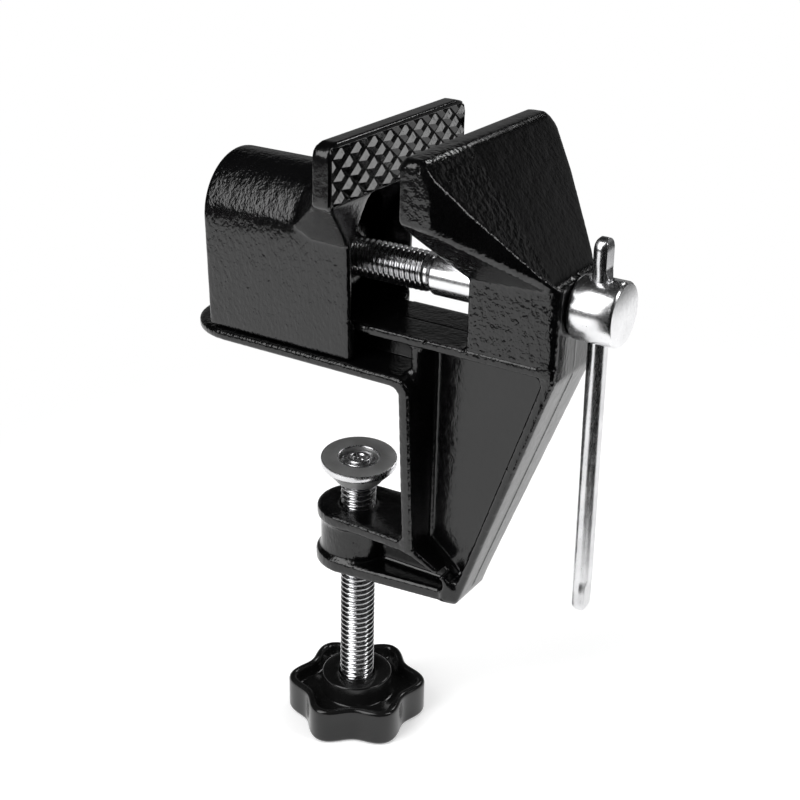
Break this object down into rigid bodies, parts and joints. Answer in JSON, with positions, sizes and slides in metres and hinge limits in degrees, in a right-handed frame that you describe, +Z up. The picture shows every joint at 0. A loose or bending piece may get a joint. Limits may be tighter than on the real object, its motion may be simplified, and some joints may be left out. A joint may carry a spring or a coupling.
{
  "type": "clamp-on table vise",
  "caption": "Small black die-cast bench vise that clamps on a table edge, with knurled jaws, a steel spindle with a sliding tommy bar, and a star-knob clamp screw with a swivel pad.",
  "frame": {"origin": "on the underside of the table plate, which is the face that sits on the table, where the clamp screw's axis meets it", "axes": "+X along the main spindle towards its head, +Y across the jaws to the left seen from the head, +Z up away from the table"},
  "size_m": [0.1178, 0.06, 0.1706],
  "materials": {
    "enamel": "glossy black enamel with a fine orange-peel skin",
    "plated_steel": "bright nickel plate",
    "zinc_steel": "bright zinc plate",
    "pad_steel": "dark turned steel with a bright edge",
    "knob_plastic": "glossy black moulding"
  },
  "bodies": {
    "frame": {"body_casting": "enamel", "retaining_pin": "zinc_steel"},
    "slide": {"slide_casting": "enamel"},
    "spindle": {"main_spindle": "plated_steel"},
    "bar": {"tommy_bar": "plated_steel"},
    "pad_carrier": {"pad_washer": "zinc_steel"},
    "clamp": {"clamp_screw": "zinc_steel", "star_knob": "knob_plastic"},
    "pad": {"pressure_pad": "pad_steel"}
  },
  "joints": [
    {"name": "jaw_slide", "type": "slide", "parent": "frame", "child": "slide", "axis": [1, 0, 0], "range_m": [-0.01, 0.0176]},
    {"name": "spindle_turn", "type": "hinge", "parent": "frame", "child": "spindle", "pos_m": [0.05, 0, 0.025], "axis": [1, 0, 0], "range_deg": [-4212, 2376]},
    {"name": "bar_slide", "type": "slide", "parent": "spindle", "child": "bar", "axis": [0, -0.0417, 0.9991], "range_m": [0, 0.0634]},
    {"name": "clamp_travel", "type": "slide", "parent": "frame", "child": "pad_carrier", "axis": [0, 0, 1], "range_m": [-0.006, 0.0285]},
    {"name": "clamp_turn", "type": "hinge", "parent": "pad_carrier", "child": "clamp", "pos_m": [0, 0, -0.07], "axis": [0, 0, 1], "range_deg": [-1445, 6845]},
    {"name": "pad_tilt", "type": "hinge", "parent": "pad_carrier", "child": "pad", "pos_m": [0, 0, -0.0334], "axis": [-0.808, -0.5892, 0], "range_deg": [0, 11.8]}
  ],
  "couplings": [
    {"joint": "jaw_slide", "follows": "spindle_turn", "m_per_rad": -0.00023873},
    {"joint": "clamp_turn", "follows": "clamp_travel", "rad_per_m": 4188.8}
  ]
}
